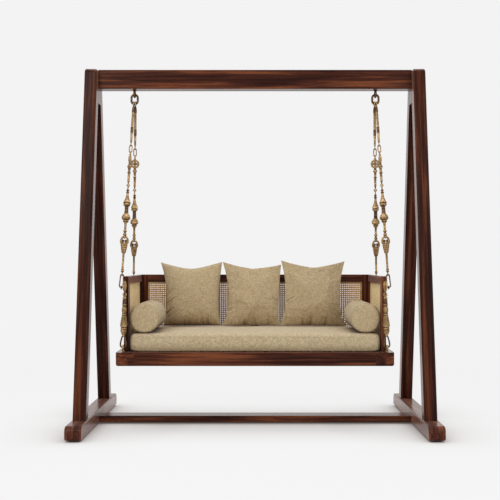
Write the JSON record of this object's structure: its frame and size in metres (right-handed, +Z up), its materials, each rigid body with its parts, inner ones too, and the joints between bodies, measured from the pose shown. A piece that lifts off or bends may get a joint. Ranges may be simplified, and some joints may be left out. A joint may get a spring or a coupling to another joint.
{
  "type": "jhoola swing",
  "caption": "Indoor swing bench hung on ornamental brass chains from a wooden A-frame stand, with caned arms and back, a seat mattress, back cushions and bolsters.",
  "frame": {"origin": "on the floor, under the middle of the stand", "axes": "+Z up, +X to the right of someone facing the swing, the front faces -Y"},
  "size_m": [2.056, 1.24, 2.13],
  "materials": {
    "dark_wood": "satin dark walnut or rosewood stain",
    "plain_wood": "plain sawn wood, hidden",
    "antique_brass": "antique brass, darkened in the hollows",
    "steel": "zinc plated",
    "cane": "natural woven cane",
    "upholstery": "coarse beige woven cloth",
    "glide_rubber": "matt"
  },
  "bodies": {
    "stand": {"top_beam": "dark_wood", "left_front_leg": "dark_wood", "left_rear_leg": "dark_wood", "right_front_leg": "dark_wood", "right_rear_leg": "dark_wood", "left_head_wedge": "dark_wood", "right_head_wedge": "dark_wood", "left_foot": "dark_wood", "right_foot": "dark_wood", "stretcher": "dark_wood", "foot_glides": "glide_rubber", "frame_bolts": "steel", "barrel_nuts": "steel", "head_dowels": "plain_wood", "left_eye_bolt": "antique_brass", "right_eye_bolt": "antique_brass", "eye_bolt_nuts": "steel"},
    "left_ring": {"left_top_ring": "antique_brass"},
    "right_ring": {"right_top_ring": "antique_brass"},
    "left_hanger": {"left_hanger_rods": "antique_brass", "left_oval_links": "antique_brass", "left_rosette_rods": "antique_brass", "left_balusters": "antique_brass", "left_stirrup_rods": "antique_brass", "left_pear_links": "antique_brass"},
    "right_hanger": {"right_hanger_rods": "antique_brass", "right_oval_links": "antique_brass", "right_rosette_rods": "antique_brass", "right_balusters": "antique_brass", "right_stirrup_rods": "antique_brass", "right_pear_links": "antique_brass"},
    "seat": {"leaf_hooks": "antique_brass", "pendants": "antique_brass", "seat_eyes": "antique_brass", "seat_eye_nuts": "steel", "seat_left_rail": "dark_wood", "seat_right_rail": "dark_wood", "seat_front_rail": "dark_wood", "seat_rear_rail": "dark_wood", "seat_slats": "plain_wood", "left_arm_post": "dark_wood", "right_arm_post": "dark_wood", "left_arm_top_rail": "dark_wood", "right_arm_top_rail": "dark_wood", "left_arm_bottom_rail": "dark_wood", "right_arm_bottom_rail": "dark_wood", "arm_canes": "cane", "left_back_post": "dark_wood", "right_back_post": "dark_wood", "back_top_rail": "dark_wood", "back_bottom_rail": "dark_wood", "back_stile": "dark_wood", "back_cane": "cane", "back_beads": "cane"},
    "mattress": {"mattress": "upholstery"},
    "left_cushion": {"left_cushion": "upholstery"},
    "centre_cushion": {"centre_cushion": "upholstery"},
    "right_cushion": {"right_cushion": "upholstery"},
    "left_bolster": {"left_bolster": "upholstery"},
    "right_bolster": {"right_bolster": "upholstery"}
  },
  "joints": [
    {"name": "swing", "type": "hinge", "parent": "stand", "child": "left_ring", "pos_m": [-0.731, 0, 1.99], "axis": [1, 0, 0], "range_deg": [-22, 22]},
    {"name": "swing_right", "type": "hinge", "parent": "stand", "child": "right_ring", "pos_m": [0.731, 0, 1.99], "axis": [1, 0, 0], "range_deg": [-22, 22]},
    {"name": "sway", "type": "hinge", "parent": "left_ring", "child": "left_hanger", "pos_m": [-0.731, 0, 1.9488], "axis": [0, 1, 0], "range_deg": [-3.5, 3.5]},
    {"name": "sway_right", "type": "hinge", "parent": "right_ring", "child": "right_hanger", "pos_m": [0.731, 0, 1.9488], "axis": [0, 1, 0], "range_deg": [-3.5, 3.5]},
    {"name": "seat_level", "type": "hinge", "parent": "left_hanger", "child": "seat", "pos_m": [-0.7675, 0, 0.8272], "axis": [0, 1, 0], "range_deg": [-3.5, 3.5]},
    {"name": "mattress_lift", "type": "slide", "parent": "seat", "child": "mattress", "axis": [0, 0, 1], "range_m": [0, 0.12]},
    {"name": "left_cushion_lift", "type": "slide", "parent": "mattress", "child": "left_cushion", "axis": [0, 0, 1], "range_m": [0, 0.3]},
    {"name": "centre_cushion_lift", "type": "slide", "parent": "mattress", "child": "centre_cushion", "axis": [0, 0, 1], "range_m": [0, 0.3]},
    {"name": "right_cushion_lift", "type": "slide", "parent": "mattress", "child": "right_cushion", "axis": [0, 0, 1], "range_m": [0, 0.3]},
    {"name": "left_bolster_lift", "type": "slide", "parent": "mattress", "child": "left_bolster", "axis": [0, 0, 1], "range_m": [0, 0.18]},
    {"name": "right_bolster_lift", "type": "slide", "parent": "mattress", "child": "right_bolster", "axis": [0, 0, 1], "range_m": [0, 0.18]}
  ],
  "couplings": [
    {"joint": "swing_right", "follows": "swing", "ratio": 1},
    {"joint": "sway_right", "follows": "sway", "ratio": 1},
    {"joint": "seat_level", "follows": "sway", "ratio": -0.95244}
  ]
}
